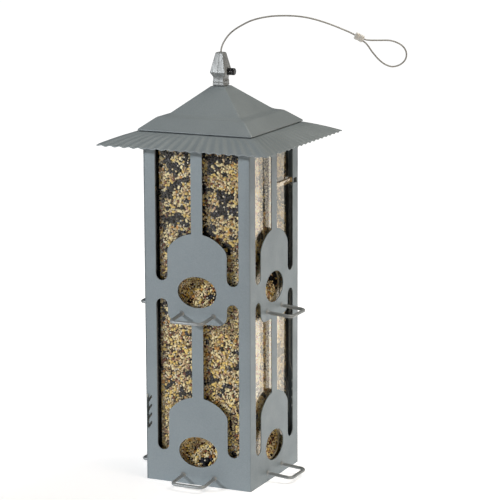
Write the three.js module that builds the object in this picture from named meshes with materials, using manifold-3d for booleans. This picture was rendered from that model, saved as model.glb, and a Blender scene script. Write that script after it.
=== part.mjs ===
// Hanging seed feeder in painted sheet steel. A clear seed hopper stands inside a square metal body with
// feeding ports and wire perches. The body and the hopper slide on each other against two springs, which
// closes the ports under a heavy animal. A stepped roof with a finial lifts along the hanging cable.
// Millimetres, +Z up, origin at the centre of the body's foot. The front faces -Y.
import * as THREE from 'three';
import { mergeVertices } from 'three/addons/utils/BufferGeometryUtils.js';
import Module from 'manifold-3d';

const wasm = await Module();
wasm.setup();

// ---------------------------------------------------------------- driving dimensions
const gap = 0.3;                 // clearance between neighbouring pieces

const bodyHalf = 65;             // half width of the square body
const bodyHeight = 392;
const sheet = 1;                 // thickness of the steel sheet
const footFlange = 7;            // width of the lip turned in at the foot

const windowOuter = 51;          // outer edge of the windows, from a face's centre line
const stemHalf = 7;              // half width of the strip between two windows
const padHalf = 36.5;            // half width of the pad round a port
const domeRadius = 44.5;         // curve of the pad's top
const domeFillet = 12;           // rounding of the pad's shoulders
const padFootFillet = 11;        // rounding of the pad's lower corners
const portHalfWidth = 24;
const portHalfHeight = 17.6;
const padFoot = 186.8;           // lower edge of the upper pad

// One entry for each feeding level: port height, foot of the side slots, centre of the pad's dome,
// top of the windows, and whether the window top is square.
const levels = [
  { name: 'lower', portZ: 38.5, slotFoot: 36.8, domeZ: 57.1, windowTop: 212.2, squareTop: false },
  { name: 'upper', portZ: 222.5, slotFoot: 232.8, domeZ: 244.1, windowTop: 384, squareTop: true },
];

const notchCount = 4;            // settings for the animal's weight
const notchPitch = 10.1;
const notchTop = 98.5;           // highest point of the top notch
const notchReach = 3.8;          // width of a notch, beside the slot
const notchMouth = 4.6;          // its height where it leaves the slot
const notchRise = 3.6;           // from the mouth's upper edge to the notch's top
const channelTop = 97;           // the slot that joins the notches
const channelFoot = 60;
const channelEdge = -61.6;
const accessHole = { near: 52.5, far: 62, foot: 331.5, top: 337.3 };
const seamAngles = [
  { name: 'lower', foot: 14, top: 44 },
  { name: 'upper', foot: 346, top: 376 },
];
const seamAngleWidth = 8;

const perchRadius = 2;
const perchHalf = 19.5;          // half width between a perch's legs
const perchReach = 29;
const perchDrop = 2.6;
const perchBend = 6;
const perchZ = { lower: 9.8, upper: 196.6 };

const hopperHalf = 59.5;
const hopperWall = 2;
const hopperChamfer = 9;         // the two corners cut back for the springs
const hopperRound = 6;
const hopperFoot = 3.8;
const hopperTop = 398.7;
const seedTop = 379;

const trayHalf = 61.2;           // the hopper's base, which rests on the body's lip
const trayFoot = 1.3;
const trayFloor = 2.2;
const trayTop = 9;
const hubRadius = 8;
const hubTop = 16;

const guideRadius = 5;           // tube that keeps the seed off the inner cable
const guideBore = 3.6;
const guideTop = 390;
const crossbarZ = 384;           // strap across the mouth that steadies the guide tube
const crossbarHalf = 7;
const crossbarTab = 12;          // length of its turned-down ends

const springX = 58.2;            // the springs hang in the corners cut off the hopper
const springRadius = 2.6;
const springBore = 1.7;
const springFoot = 170;
const springHead = 330.6;
const lugFoot = 331.6;
const lugHeight = 5.4;
const hookRadius = 0.6;

const plateHalf = 69;            // flat part of the roof's lower sheet
const plateZ = 399;              // its underside
const eaveHalf = 103.2;
const eaveDrop = 12.6;
const ribsPerSide = 18;
const ribHeight = 0.9;
const ribStart = plateHalf + 9;  // half width at which the ribs stand clear of the plate

const stemRadius = 4;            // tube that joins the roof's sheets to the finial
const stemBore = 1.7;
const stemTop = 452;
const nutFoot = 394.2;
const nutRadius = 7.5;
const finialFoot = 446.3;
const finialTop = 483.2;
const buttonZ = 462;             // the cable lock's button
const buttonRadius = 4;
const buttonInner = -3.2;        // its inner end, outer end and the foot of its seat, along X
const buttonTip = 17.4;
const buttonSeat = -7.6;

const cableRadius = 0.95;
const cableHeading = Math.atan2(0.42, 0.9075);   // the plane in which the free cable lies

// ---------------------------------------------------------------- materials
const looks = {
  bodyPaint: { color: 0x8a9499, roughness: 0.5, metalness: 0.35 },
  roofPaint: { color: 0x7b8589, roughness: 0.45, metalness: 0.4 },
  castMetal: { color: 0xa5aaac, roughness: 0.45, metalness: 0.5 },
  wire: { color: 0x8d9496, roughness: 0.4, metalness: 0.6 },
  springSteel: { color: 0xa8a8a4, roughness: 0.3, metalness: 0.9 },
  cableSteel: { color: 0x96968f, roughness: 0.35, metalness: 0.85 },
  aluminium: { color: 0xc8c8c3, roughness: 0.35, metalness: 0.8 },
  clearPlastic: { color: 0xe6ebea, roughness: 0.08, metalness: 0 },
  blackPlastic: { color: 0x16171a, roughness: 0.25, metalness: 0 },
  greyPlastic: { color: 0x4a4d50, roughness: 0.55, metalness: 0 },
  seed: { color: 0xb89b6a, roughness: 0.85, metalness: 0 },
};

const feeder = new THREE.Group();

function addPiece(name, geometry, look) {
  const mesh = new THREE.Mesh(geometry, new THREE.MeshStandardMaterial(looks[look]));
  mesh.name = name;
  feeder.add(mesh);
  return mesh;
}

// ---------------------------------------------------------------- solids
function toSolid(geometry) {
  const bare = geometry.clone();
  bare.deleteAttribute('normal');
  bare.deleteAttribute('uv');
  const welded = mergeVertices(bare, 1e-4);
  return new wasm.Manifold(new wasm.Mesh({
    numProp: 3,
    vertProperties: new Float32Array(welded.attributes.position.array),
    triVerts: new Uint32Array(welded.index.array),
  }));
}

function toGeometry(solid) {
  const mesh = solid.getMesh();
  const geometry = new THREE.BufferGeometry();
  geometry.setAttribute('position', new THREE.Float32BufferAttribute(mesh.vertProperties, 3));
  geometry.setIndex(new THREE.Uint32BufferAttribute(mesh.triVerts, 1));
  geometry.computeVertexNormals();
  return geometry;
}

function join(...geometries) {
  return toGeometry(geometries.map(toSolid).reduce((whole, piece) => whole.add(piece)));
}

function cut(geometry, ...tools) {
  return toGeometry(tools.map(toSolid).reduce((whole, tool) => whole.subtract(tool), toSolid(geometry)));
}

// A skin over rings of points. A loop of rings closes on itself; a stack has a cap at each end.
function ringSkin(rings, isLoop) {
  const count = rings[0].length;
  const positions = rings.flat().flatMap((point) => [point.x, point.y, point.z]);
  const faces = [];
  const spans = isLoop ? rings.length : rings.length - 1;
  for (let ring = 0; ring < spans; ring += 1) {
    const here = ring * count;
    const there = ((ring + 1) % rings.length) * count;
    for (let k = 0; k < count; k += 1) {
      const next = (k + 1) % count;
      faces.push(here + k, here + next, there + next);
      faces.push(here + k, there + next, there + k);
    }
  }
  if (!isLoop) {
    const last = (rings.length - 1) * count;
    for (let k = 1; k < count - 1; k += 1) {
      faces.push(0, k + 1, k);
      faces.push(last, last + k, last + k + 1);
    }
  }
  const geometry = new THREE.BufferGeometry();
  geometry.setAttribute('position', new THREE.Float32BufferAttribute(positions, 3));
  geometry.setIndex(faces);
  return facingOut(geometry);
}

// Turns the faces round if the skin is inside out.
function facingOut(geometry) {
  const at = geometry.attributes.position;
  const index = geometry.index.array;
  const corner = (i) => new THREE.Vector3().fromBufferAttribute(at, index[i]);
  let volume = 0;
  for (let i = 0; i < index.length; i += 3) {
    volume += corner(i).dot(corner(i + 1).cross(corner(i + 2)));
  }
  if (volume < 0) {
    for (let i = 0; i < index.length; i += 3) {
      [index[i + 1], index[i + 2]] = [index[i + 2], index[i + 1]];
    }
  }
  geometry.computeVertexNormals();
  return geometry;
}

// Points of an arc in a plane, both ends included. Angles are in degrees.
function arc(centreX, centreY, radius, from, to, steps) {
  return Array.from({ length: steps + 1 }, (_, k) => {
    const angle = THREE.MathUtils.degToRad(from + ((to - from) * k) / steps);
    return new THREE.Vector2(centreX + radius * Math.cos(angle), centreY + radius * Math.sin(angle));
  });
}

function lift(outline, z) {
  return outline.map((point) => new THREE.Vector3(point.x, point.y, z));
}

function roundedSquare(half, radius, steps = 3) {
  const inner = half - radius;
  return [
    ...arc(inner, -inner, radius, -90, 0, steps),
    ...arc(inner, inner, radius, 0, 90, steps),
    ...arc(-inner, inner, radius, 90, 180, steps),
    ...arc(-inner, -inner, radius, 180, 270, steps),
  ];
}

function circle(radius, count) {
  return arc(0, 0, radius, -90, 270, count).slice(0, count);
}

// An upright prism of an outline, with an optional hole.
function prism(outline, foot, top, hole) {
  const shape = new THREE.Shape(outline);
  if (hole) {
    shape.holes.push(new THREE.Path(hole));
  }
  return new THREE.ExtrudeGeometry(shape, { depth: top - foot, bevelEnabled: false }).translate(0, 0, foot);
}

function rod(radius, foot, top, sides = 16) {
  return new THREE.CylinderGeometry(radius, radius, top - foot, sides)
    .rotateX(Math.PI / 2)
    .translate(0, 0, (foot + top) / 2);
}

// An upright tube.
function sleeve(outer, bore, foot, top, sides) {
  const section = [[outer, foot], [outer, top], [bore, top], [bore, foot]];
  return ringSkin(section.map(([radius, z]) => lift(circle(radius, sides), z)), true);
}

// A route through listed points, with one cross-section of the wire at each of them.
class Route extends THREE.Curve {
  constructor(points) {
    super();
    this.points = points;
  }

  getPoint(t, target = new THREE.Vector3()) {
    const spans = this.points.length - 1;
    const start = Math.min(Math.floor(t * spans + 1e-6), spans - 1);
    return target.lerpVectors(this.points[start], this.points[start + 1], t * spans - start);
  }

  getTangent(t, target = new THREE.Vector3()) {
    const last = this.points.length - 1;
    const at = Math.round(t * last);
    const after = this.points[Math.min(at + 1, last)];
    const before = this.points[Math.max(at - 1, 0)];
    return target.subVectors(after, before).normalize();
  }

  getUtoTmapping(u) {
    return u;
  }
}

function wire(points, radius, sides = 8) {
  const section = new THREE.Shape(circle(radius, sides));
  return new THREE.ExtrudeGeometry(section, {
    steps: points.length - 1,
    extrudePath: new Route(points),
    bevelEnabled: false,
  });
}

function quarterTurns(geometry, turns) {
  return geometry.clone().rotateZ((turns * Math.PI) / 2);
}

// ---------------------------------------------------------------- body
// One window on the right of the stem, drawn from the pad's dome round to the stem.
function windowOutline(level) {
  const slotRadius = (windowOuter - padHalf) / 2;
  const slotX = (windowOuter + padHalf) / 2;
  const filletX = padHalf - domeFillet;
  const filletRise = Math.sqrt((domeRadius - domeFillet) ** 2 - filletX ** 2);
  const stemAngle = THREE.MathUtils.radToDeg(Math.acos(stemHalf / domeRadius));
  const filletAngle = THREE.MathUtils.radToDeg(Math.atan2(filletRise, filletX));
  const outline = [
    ...arc(0, level.domeZ, domeRadius, stemAngle, filletAngle, 6),
    ...arc(filletX, level.domeZ + filletRise, domeFillet, filletAngle, 0, 5).slice(1),
    ...arc(slotX, level.slotFoot + slotRadius, slotRadius, 180, 360, 10),
  ];
  if (level.squareTop) {
    outline.push(new THREE.Vector2(windowOuter, level.windowTop));
    outline.push(new THREE.Vector2(stemHalf, level.windowTop));
    return outline;
  }
  return [
    ...outline,
    ...arc(slotX, level.windowTop - slotRadius, slotRadius, 0, 180, 10),
    ...arc(padHalf - padFootFillet, padFoot + padFootFillet, padFootFillet, 0, -90, 5),
    new THREE.Vector2(stemHalf, padFoot),
  ];
}

function mirrored(outline) {
  return outline.map((point) => new THREE.Vector2(-point.x, point.y)).reverse();
}

function portOutline(z, grow = 0, steps = 36) {
  return circle(1, steps).map((point) => new THREE.Vector2(
    point.x * (portHalfWidth + grow),
    z + point.y * (portHalfHeight + grow),
  ));
}

// A tool that cuts an outline, drawn in the plane of the front face, through that face.
function faceCutter(outline) {
  const depth = 3 * sheet;
  return new THREE.ExtrudeGeometry(new THREE.Shape(outline), { depth, bevelEnabled: false })
    .rotateX(Math.PI / 2)
    .translate(0, -bodyHalf + depth - sheet, 0);
}

function block(low, high) {
  const size = high.map((value, axis) => value - low[axis]);
  return new THREE.BoxGeometry(...size).translate(...low.map((value, axis) => value + size[axis] / 2));
}

// The slot that carries the weight settings, with notches that rise away from the seam.
function settingCutters() {
  const channel = block([-bodyHalf - 1, -bodyHalf - 1, channelFoot], [channelEdge, -bodyHalf + 2, channelTop]);
  const cutters = [channel];
  for (let k = 0; k < notchCount; k += 1) {
    const top = notchTop - k * notchPitch;
    const mouthTop = top - notchRise;
    const mouthFoot = mouthTop - notchMouth;
    const outline = [
      [channelEdge - 1, mouthFoot], [channelEdge, mouthFoot], [channelEdge + notchReach, top - 2.2],
      [channelEdge + notchReach, top], [channelEdge + notchReach - 1.2, top], [channelEdge, mouthTop],
      [channelEdge - 1, mouthTop],
    ];
    cutters.push(faceCutter(outline.map(([x, y]) => new THREE.Vector2(x, y))));
  }
  return cutters;
}

// The front face of the body. The notched face butts against the plain one at the seam.
function bodyFace(isNotched) {
  const start = isNotched ? -bodyHalf + sheet + gap : -bodyHalf;
  const plate = block([start, -bodyHalf, 0], [bodyHalf, -bodyHalf + sheet, bodyHeight]);
  const cutters = levels.flatMap((level) => {
    const half = windowOutline(level);
    return [half, mirrored(half), portOutline(level.portZ)].map(faceCutter);
  });
  if (isNotched) {
    cutters.push(...settingCutters());
  } else {
    const { near, far, foot, top } = accessHole;
    cutters.push(block([near, -bodyHalf - 1, foot], [far, -bodyHalf + 2, top]));
  }
  return cut(plate, ...cutters);
}

// Two faces folded from one sheet, with the lip at the foot.
function bodyHalfShell() {
  const inside = bodyHalf - footFlange;
  const wall = bodyHalf - sheet / 2;
  const frontLip = block([-inside + gap, -wall, 0], [wall, -inside, sheet]);
  const sideLip = block([inside, -wall, 0], [wall, bodyHalf - sheet - gap, sheet]);
  return join(bodyFace(true), quarterTurns(bodyFace(false), 1), frontLip, sideLip);
}

const halfShell = bodyHalfShell();
addPiece('shroud_front_right', halfShell, 'bodyPaint');
addPiece('shroud_back_left', quarterTurns(halfShell, 2), 'bodyPaint');

// Angles spot-welded inside the two seams.
function seamAngle(foot, top) {
  const outer = -bodyHalf + sheet + gap;
  const inner = outer + sheet;
  const reach = outer + seamAngleWidth;
  const outline = [
    [outer, outer], [reach, outer], [reach, inner],
    [inner, inner], [inner, reach], [outer, reach],
  ];
  return prism(outline.map(([x, y]) => new THREE.Vector2(x, y)), foot, top);
}

for (const { name, foot, top } of seamAngles) {
  addPiece(`seam_angle_front_${name}`, seamAngle(foot, top), 'bodyPaint');
  addPiece(`seam_angle_back_${name}`, quarterTurns(seamAngle(foot, top), 2), 'bodyPaint');
}

// ---------------------------------------------------------------- perches
function perch(z) {
  const root = -bodyHalf - gap;
  const slope = -perchDrop / perchReach;
  const legEnd = perchReach - perchBend;
  const plan = [
    new THREE.Vector2(-perchHalf, 0),
    ...arc(-perchHalf + perchBend, legEnd, perchBend, 180, 90, 4),
    ...arc(perchHalf - perchBend, legEnd, perchBend, 90, 0, 4),
    new THREE.Vector2(perchHalf, 0),
  ];
  return wire(plan.map(({ x, y }) => new THREE.Vector3(x, root - y, z + slope * y)), perchRadius);
}

const sides = ['front', 'right', 'back', 'left'];
for (const level of levels) {
  sides.forEach((side, turns) => {
    addPiece(`perch_${side}_${level.name}`, quarterTurns(perch(perchZ[level.name]), turns), 'wire');
  });
}

// ---------------------------------------------------------------- hopper
// Plan of the hopper: two rounded corners, and two cut back at 45 degrees for the springs.
function hopperPlan(inset) {
  const half = hopperHalf - inset;
  const chamfer = hopperChamfer - inset * (2 - Math.SQRT2);
  const radius = Math.max(hopperRound - inset, 1);
  return [
    new THREE.Vector2(-half + chamfer, -half),
    ...arc(half - radius, -half + radius, radius, -90, 0, 4),
    new THREE.Vector2(half, half - chamfer),
    new THREE.Vector2(half - chamfer, half),
    ...arc(-half + radius, half - radius, radius, 90, 180, 4),
    new THREE.Vector2(-half, -half + chamfer),
  ];
}

// A bar through both walls in the shape of a port.
function portBar(z, grow) {
  const length = 2 * bodyHalf;
  return new THREE.ExtrudeGeometry(new THREE.Shape(portOutline(z, grow)), { depth: length, bevelEnabled: false })
    .rotateX(Math.PI / 2)
    .translate(0, length / 2, 0);
}

const portBars = levels.flatMap((level) => [portBar(level.portZ, 1), quarterTurns(portBar(level.portZ, 1), 1)]);
const hopperShell = ringSkin([
  lift(hopperPlan(0), hopperFoot),
  lift(hopperPlan(0), hopperTop),
  lift(hopperPlan(hopperWall), hopperTop),
  lift(hopperPlan(hopperWall), hopperFoot),
], true);
addPiece('hopper_tube', cut(hopperShell, ...portBars), 'clearPlastic');

function hopperBase() {
  const drainRadius = 1.5;
  const drainCircle = 38;
  const drainCount = 8;
  const floorTop = trayFoot + trayFloor;
  const outline = roundedSquare(trayHalf, hopperRound, 4);
  const floor = prism(outline, trayFoot, floorTop);
  const rim = prism(outline, trayFoot, trayTop, roundedSquare(hopperHalf + gap, hopperRound, 4));
  const drains = Array.from({ length: drainCount }, (_, k) => rod(drainRadius, 0, trayTop, 8)
    .translate(drainCircle, 0, 0)
    .rotateZ(((k + 0.5) * 2 * Math.PI) / drainCount));
  return cut(join(floor, rim, rod(hubRadius, trayFoot, hubTop, 20)), rod(guideBore, 0, hubTop + 1), ...drains);
}

addPiece('hopper_base', hopperBase(), 'greyPlastic');
addPiece('cable_anchor', rod(guideBore - gap, trayFoot + 0.5, hubTop - 2, 12), 'aluminium');
addPiece('cable_guide_tube', sleeve(guideRadius, guideBore, hubTop + gap, guideTop, 16), 'aluminium');

function crossbar() {
  const reach = hopperHalf - hopperWall - gap;
  const strap = 1.5;
  const top = crossbarZ + strap;
  const bar = block([-reach, -crossbarHalf, crossbarZ], [reach, crossbarHalf, top]);
  const tabs = [[-reach, -reach + strap], [reach - strap, reach]].map(([from, to]) => (
    block([from, -crossbarHalf, top - crossbarTab], [to, crossbarHalf, top])
  ));
  return cut(join(bar, ...tabs), rod(guideRadius + gap, crossbarZ - 2, crossbarZ + 4));
}

addPiece('cable_crossbar', crossbar(), 'aluminium');

// Sections below run inwards from the hopper's inner wall (x) and upwards from a port's centre (y).
function portSection(points, halfWidth, z) {
  const inner = -hopperHalf + hopperWall;
  return new THREE.ExtrudeGeometry(
    new THREE.Shape(points.map(([x, y]) => new THREE.Vector2(x, y))),
    { depth: 2 * halfWidth, bevelEnabled: false },
  )
    .rotateX(Math.PI / 2)
    .rotateZ(Math.PI / 2)
    .translate(-halfWidth, inner, z);
}

const pocketSection = [[-1, -17], [2, -17], [13, 4], [13, 22], [-1, 22]];
const baffleSection = [[0.4, 20.6], [0.4, 19], [10.6, 5.6], [11.6, 6.4], [1.6, 20.6]];
const pocketHalf = 26;
const baffleHalf = 24.5;

for (const level of levels) {
  sides.forEach((side, turns) => {
    const baffle = portSection(baffleSection, baffleHalf, level.portZ);
    addPiece(`port_baffle_${side}_${level.name}`, quarterTurns(baffle, turns), 'clearPlastic');
  });
}

const pockets = levels.flatMap((level) => sides.map((_, turns) => (
  quarterTurns(portSection(pocketSection, pocketHalf, level.portZ), turns)
)));
const seedPlan = hopperPlan(hopperWall + gap);
const seedBlock = ringSkin([lift(seedPlan, trayFoot + trayFloor + gap), lift(seedPlan, seedTop)], false);
const crossbarRoom = block(
  [-hopperHalf, -crossbarHalf - 1, crossbarZ - crossbarTab + 0.5],
  [hopperHalf, crossbarHalf + 1, seedTop + 1],
);
addPiece('seed_fill', cut(
  seedBlock,
  rod(hubRadius + gap, 0, hubTop + gap, 20),
  rod(guideRadius + gap, 0, seedTop + 1),
  crossbarRoom,
  ...pockets,
), 'seed');

// ---------------------------------------------------------------- springs, lugs and hooks
// A strap on the outside of the hopper, bent round the cut-back corner, with the peg for the spring.
function springLug() {
  const strap = 1.6;
  const strapEnd = -14;
  const pegHalf = 2;
  const pegLength = 7.6;
  const side = hopperHalf + gap;
  const slant = 2 * hopperHalf - hopperChamfer + gap * Math.SQRT2;
  const outerSide = side + strap;
  const outerSlant = slant + strap * Math.SQRT2;
  const outline = [
    [-side, strapEnd], [-side, side - slant], [pegHalf - slant / 2, -pegHalf - slant / 2],
    [pegHalf - outerSlant / 2, -pegHalf - outerSlant / 2], [-outerSide, outerSide - outerSlant],
    [-outerSide, strapEnd],
  ];
  const strapPiece = prism(outline.map(([x, y]) => new THREE.Vector2(x, y)), lugFoot, lugFoot + lugHeight);
  const root = slant / Math.SQRT2 + gap;
  const peg = block([-root - pegLength, -pegHalf, lugFoot], [-root, pegHalf, lugFoot + lugHeight])
    .rotateZ(Math.PI / 4);
  return join(strapPiece, peg);
}

function spring() {
  return sleeve(springRadius, springBore, springFoot, springHead, 12).translate(-springX, -springX, 0);
}

// The wire hook runs up inside the spring and down to the slot at the seam.
function weightHook() {
  const slotX = channelEdge - 1.05;
  const slotZ = channelTop - hookRadius - gap;
  const outside = -bodyHalf - hookRadius - 0.8;
  return wire([
    new THREE.Vector3(-springX, -springX, springFoot + 38),
    new THREE.Vector3(-springX, -springX, 122),
    new THREE.Vector3(-springX - 0.8, -springX - 1, 115),
    new THREE.Vector3(slotX + 0.6, -62.2, 100),
    new THREE.Vector3(slotX, -63.4, slotZ + 0.6),
    new THREE.Vector3(slotX, -64.4, slotZ),
    new THREE.Vector3(slotX, outside + 0.7, slotZ),
    new THREE.Vector3(slotX, outside, slotZ + 0.7),
    new THREE.Vector3(slotX, outside, slotZ + 4.5),
  ], hookRadius);
}

['front', 'back'].forEach((corner, index) => {
  addPiece(`spring_lug_${corner}`, quarterTurns(springLug(), 2 * index), 'clearPlastic');
  addPiece(`weight_spring_${corner}`, quarterTurns(spring(), 2 * index), 'springSteel');
  addPiece(`weight_hook_${corner}`, quarterTurns(weightHook(), 2 * index), 'springSteel');
});

// ---------------------------------------------------------------- roof
// Points round a square, spaced evenly in the fan of ribs that runs out from its centre.
function squareRing(half, z, wave) {
  const upright = new THREE.Vector3(0, 0, 1);
  const perSide = 2 * ribsPerSide;
  const ring = [];
  for (let side = 0; side < 4; side += 1) {
    for (let k = 0; k < perSide; k += 1) {
      const along = half * (-1 + (2 * k) / perSide);
      const isCorner = k === 0;
      const rise = isCorner ? 0 : wave * (k % 2 === 1 ? 1 : -1);
      ring.push(new THREE.Vector3(along, -half, z + rise).applyAxisAngle(upright, (side * Math.PI) / 2));
    }
  }
  return ring;
}

function holeRing(radius, z) {
  return squareRing(1, 0, 0).map((point) => point.setZ(0).setLength(radius).setZ(z));
}

function roofSkirt() {
  const topside = [
    holeRing(stemRadius + gap, plateZ + sheet),
    squareRing(plateHalf, plateZ + sheet, 0),
    squareRing(ribStart, plateZ + sheet - eaveDrop * 0.2, ribHeight * 0.6),
    squareRing(eaveHalf, plateZ + sheet - eaveDrop, ribHeight),
  ];
  const underside = topside.map((ring) => ring.map((point) => point.clone().setZ(point.z - sheet))).reverse();
  return ringSkin([...topside, ...underside], true);
}

addPiece('roof_skirt', roofSkirt(), 'roofPaint');

// Half width and height of the roof cap's outer face, from the finial down to the rim.
const capProfile = [
  [8, 445.7], [9.2, 445.4], [42, 418.6], [44.5, 417], [47.5, 416], [52.5, 415], [55, 413.6], [58, 411.4],
  [69.3, 402.6], [69.8, 401.9],
];

function roofCap() {
  const softness = 1.6;
  const inset = 0.7;
  const depth = 1.1;
  const outer = capProfile.map(([half, z]) => lift(roundedSquare(half, softness), z));
  const inner = capProfile.slice(1)
    .map(([half, z]) => lift(roundedSquare(half - inset, softness), z - depth))
    .reverse();
  const count = outer[0].length;
  const peak = capProfile[0][1];
  const mouth = [peak - depth - 0.2, peak].map((z) => lift(circle(stemRadius + gap, count), z));
  return ringSkin([...outer, ...inner, ...mouth], true);
}

addPiece('roof_cap', roofCap(), 'roofPaint');

addPiece('roof_stem', sleeve(stemRadius, stemBore, nutFoot - 1, stemTop, 16), 'aluminium');
const nut = prism(circle(nutRadius, 6), nutFoot, plateZ - gap, circle(stemRadius + gap, 16));
addPiece('roof_nut', nut, 'springSteel');

// Half width and height of the finial, from its foot to its top.
const finialProfile = [
  [7, 0], [7.3, 0.6], [7.3, 2], [6.9, 2.6], [6.9, 3.2], [7.2, 3.8], [7.2, 5.2], [6.8, 6], [6.7, 8.2], [7.3, 10.2],
  [9.1, 13.6], [9.5, 14.6], [9.3, 15.8], [4.9, 35.6], [4.2, 36.9],
];

function finial() {
  const count = 16;
  const outer = finialProfile.map(([half, rise]) => lift(roundedSquare(half, 1.4), finialFoot + rise));
  const bore = [
    lift(circle(cableRadius + 0.6, count), finialTop),
    lift(circle(cableRadius + 0.6, count), stemTop + gap),
    lift(circle(stemRadius + gap, count), stemTop + gap),
    lift(circle(stemRadius + gap, count), finialFoot),
  ];
  const seat = rod(buttonRadius + gap, buttonSeat, 20, 24).rotateY(Math.PI / 2).translate(0, 0, buttonZ);
  return cut(ringSkin([...outer, ...bore], true), seat);
}

addPiece('finial', finial(), 'castMetal');

function lockButton() {
  const slot = { from: -1.25, to: 4.8, half: 1.25 };
  const edge = 1.2;
  const outline = [
    new THREE.Vector2(0, buttonInner),
    new THREE.Vector2(buttonRadius, buttonInner),
    ...arc(buttonRadius - edge, buttonTip - edge, edge, 0, 90, 4),
    new THREE.Vector2(0, buttonTip),
  ];
  const shank = new THREE.LatheGeometry(outline, 20).rotateZ(-Math.PI / 2);
  const passage = block([slot.from, -slot.half, -9], [slot.to, slot.half, 9]);
  return cut(shank, passage).translate(0, 0, buttonZ);
}

addPiece('lock_button', lockButton(), 'blackPlastic');
const buttonSpring = sleeve(3, 2, buttonSeat + gap, buttonInner - gap, 12).rotateY(Math.PI / 2);
addPiece('button_spring', buttonSpring.translate(0, 0, buttonZ), 'springSteel');

// ---------------------------------------------------------------- cable
// The inner cable runs from the finial down the guide tube to the anchor in the base.
addPiece('inner_cable', rod(cableRadius, hubTop - 2 + gap, finialTop - 0.4, 8), 'cableSteel');

// Points of the free cable in its own plane: distance from the axis and height.
const cableRoute = [
  [0, 483.5], [0.5, 487], [2.2, 492], [5.6, 498], [10.6, 504], [16.9, 509], [24, 513.2], [33, 517.6],
  [43.6, 520.7], [56.9, 522.8], [70.2, 523.4], [83.5, 522.8], [96.8, 520.9], [110.1, 517.4], [123.4, 512.8],
  [136.7, 507.4], [142.5, 504.9], [148.6, 501.9],
];
const loopRoute = [
  [159.2, 497], [162, 496.1], [166, 495.7], [177, 495.6], [188.1, 495.3], [196.5, 492.6], [203, 488],
  [206.4, 481.5], [205.6, 474.8], [200.2, 469], [191.2, 466.2], [183, 468.6], [175.8, 474], [168.3, 482.6],
  [164, 488.8], [161, 492.4], [158.1, 494.7],
];

function inCablePlane([away, z]) {
  return new THREE.Vector3(away * Math.cos(cableHeading), away * Math.sin(cableHeading), z);
}

function cable(route, steps) {
  const smooth = new THREE.CatmullRomCurve3(route.map(inCablePlane), false, 'centripetal');
  return wire(smooth.getSpacedPoints(steps), cableRadius);
}

addPiece('hanging_cable', cable(cableRoute, 48), 'cableSteel');
addPiece('cable_loop', cable(loopRoute, 30), 'cableSteel');

// The crimped ferrule, an oval sleeve across which the cable's end and its own loop lie side by side.
function ferrule() {
  const from = inCablePlane([149, 501.4]);
  const to = inCablePlane([158.1, 496.6]);
  const length = from.distanceTo(to);
  const thickness = 3.8;
  const width = 8.2;
  const toOval = (point) => new THREE.Vector2(point.x * thickness, point.y * width);
  const section = roundedSquare(0.5, 0.38).map(toOval);
  const widths = [[0, 0.8], [0.8, 1], [length - 0.8, 1], [length, 0.8]];
  const rings = widths.map(([along, width]) => section.map((point) => (
    new THREE.Vector3(along, point.x * width, point.y * width)
  )));
  const direction = to.clone().sub(from);
  const pitch = -Math.atan2(direction.z, Math.hypot(direction.x, direction.y));
  return ringSkin(rings, false).rotateY(pitch).rotateZ(cableHeading).translate(from.x, from.y, from.z);
}

addPiece('cable_ferrule', ferrule(), 'aluminium');

export default feeder;
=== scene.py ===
"""Hanging seed feeder: the looks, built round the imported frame.

Metres, +Z up, the front faces -Y. After the camera and the materials come the cable, the painted body with its
perches, the roof with its lock, the clear hopper with its seed, the springs, and the studio.
"""

import math
from collections import namedtuple

import bmesh
import bpy
import numpy as np
from mathutils import Matrix, Vector, noise


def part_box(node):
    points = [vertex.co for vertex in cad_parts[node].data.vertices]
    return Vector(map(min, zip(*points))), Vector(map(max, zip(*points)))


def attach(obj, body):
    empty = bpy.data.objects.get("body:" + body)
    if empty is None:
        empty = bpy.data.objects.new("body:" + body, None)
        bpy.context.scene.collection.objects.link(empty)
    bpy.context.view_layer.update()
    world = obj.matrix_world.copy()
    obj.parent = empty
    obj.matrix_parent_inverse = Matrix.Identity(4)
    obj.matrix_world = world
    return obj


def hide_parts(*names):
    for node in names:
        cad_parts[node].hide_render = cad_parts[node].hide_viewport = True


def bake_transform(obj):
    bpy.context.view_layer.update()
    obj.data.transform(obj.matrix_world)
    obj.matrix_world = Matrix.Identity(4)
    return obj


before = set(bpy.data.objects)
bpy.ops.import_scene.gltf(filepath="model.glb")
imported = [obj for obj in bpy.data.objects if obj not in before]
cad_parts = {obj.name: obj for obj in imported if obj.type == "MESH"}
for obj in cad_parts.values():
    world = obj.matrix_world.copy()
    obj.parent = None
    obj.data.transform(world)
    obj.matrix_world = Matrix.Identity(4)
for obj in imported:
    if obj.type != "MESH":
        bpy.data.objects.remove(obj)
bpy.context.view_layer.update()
MM = 0.001
SHEET = 1 * MM  # thickness of the steel sheet


def add(name, data):
    """Puts a new object with this data in the scene."""
    made = bpy.data.objects.new(name, data)
    bpy.context.scene.collection.objects.link(made)
    return made


# ---------------------------------------------------------------- camera
VIEW_YAW = math.radians(24.88)
VIEW_PITCH = math.radians(11.59)
VIEW_ROLL = math.radians(-0.2)
VIEW_DISTANCE = 2.647
VIEW_LENS_MM = 168.6
VIEW_HEIGHT = 0.2585  # height of the point looked at
VIEW_SIDESTEP = 0.0316  # how far to the right of the feeder's axis it lies


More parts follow.
